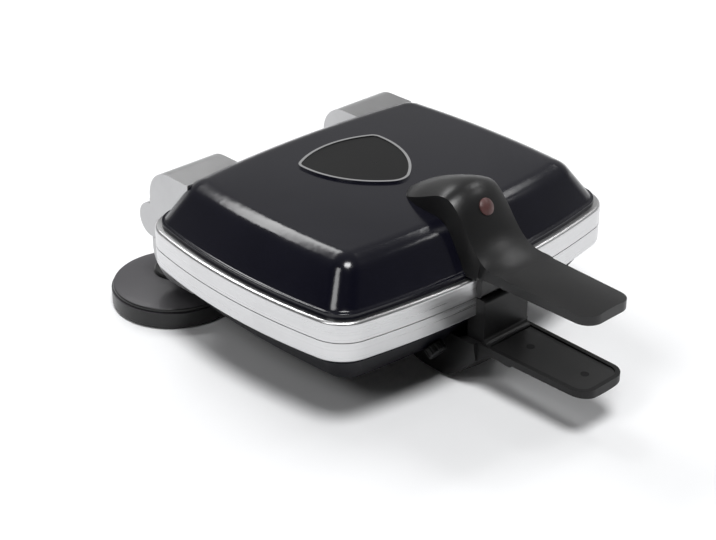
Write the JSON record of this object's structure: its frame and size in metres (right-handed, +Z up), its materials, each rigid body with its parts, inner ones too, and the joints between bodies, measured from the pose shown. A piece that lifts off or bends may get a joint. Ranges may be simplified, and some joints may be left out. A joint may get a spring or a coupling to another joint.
{
  "type": "sandwich and waffle maker",
  "caption": "Electric sandwich and waffle maker: hinged clam-shell halves with bowed metal bands, waffle plates, hooded grips and round rear feet.",
  "frame": {"origin": "centre of the footprint's bounding box, on the table", "axes": "+Z up, +Y from the grips at the front to the hinge at the back, +X to the right"},
  "size_m": [0.29, 0.388, 0.1416],
  "materials": {
    "shell": "semi-gloss, blue-black",
    "moulding": "matt dark grey with a soft sheen",
    "band": "satin",
    "hinge_metal": "cast and blasted",
    "plate": "dark non-stick coating on cast metal",
    "steel": "bright zinc",
    "reflector": "bright sheet",
    "bright_trim": "polished",
    "badge_field": "gloss black, bare",
    "lamp": "clear red-brown",
    "sole": "matt",
    "insulator": "matt ceramic-like"
  },
  "bodies": {
    "base": {"foot_disc_left": "moulding", "foot_disc_right": "moulding", "foot_pad_left": "sole", "foot_pad_right": "sole", "hinge_post_left": "moulding", "hinge_post_right": "moulding", "hinge_axle": "steel", "post_screws": "steel"},
    "lower_half": {"lower_shell": "shell", "lower_frame": "band", "lower_waffle_plate": "plate", "lower_plate_screws": "steel", "lower_heating_element": "steel", "lower_reflector": "reflector", "lower_handle": "moulding", "lower_grip_cover": "moulding", "lower_cover_screws": "steel", "lower_handle_screws": "steel", "lower_shell_screws": "steel", "lower_hinge_arm_left": "hinge_metal", "lower_hinge_arm_right": "hinge_metal", "lower_hinge_screws": "steel", "front_foot_pad": "sole", "power_inlet": "moulding", "thermostat": "insulator", "terminal_block": "insulator"},
    "knob": {"thermostat_knob": "moulding"},
    "lid": {"lid_shell": "shell", "lid_frame": "band", "upper_waffle_plate": "plate", "upper_plate_screws": "steel", "upper_heating_element": "steel", "upper_reflector": "reflector", "upper_handle": "moulding", "upper_grip_cover": "moulding", "upper_cover_screws": "steel", "upper_handle_screws": "steel", "upper_shell_screws": "steel", "pilot_lamp_lens": "lamp", "pilot_lamp_holder": "insulator", "badge_rim": "bright_trim", "badge_plate": "badge_field", "lid_hinge_arm_left": "hinge_metal", "lid_hinge_arm_right": "hinge_metal", "lid_hinge_screws": "steel", "thermal_fuse": "insulator"}
  },
  "joints": [
    {"name": "flip", "type": "hinge", "parent": "base", "child": "lower_half", "pos_m": [0, 0.1485, 0.072], "axis": [-1, 0, 0], "range_deg": [0, 180]},
    {"name": "lid_open", "type": "hinge", "parent": "lower_half", "child": "lid", "pos_m": [0, 0.1485, 0.072], "axis": [-1, 0, 0], "range_deg": [0, 180]},
    {"name": "knob_turn", "type": "hinge", "parent": "lower_half", "child": "knob", "pos_m": [-0.04, -0.07329, 0.032], "axis": [0, -0.8099, -0.5865], "range_deg": [0, 270]}
  ]
}
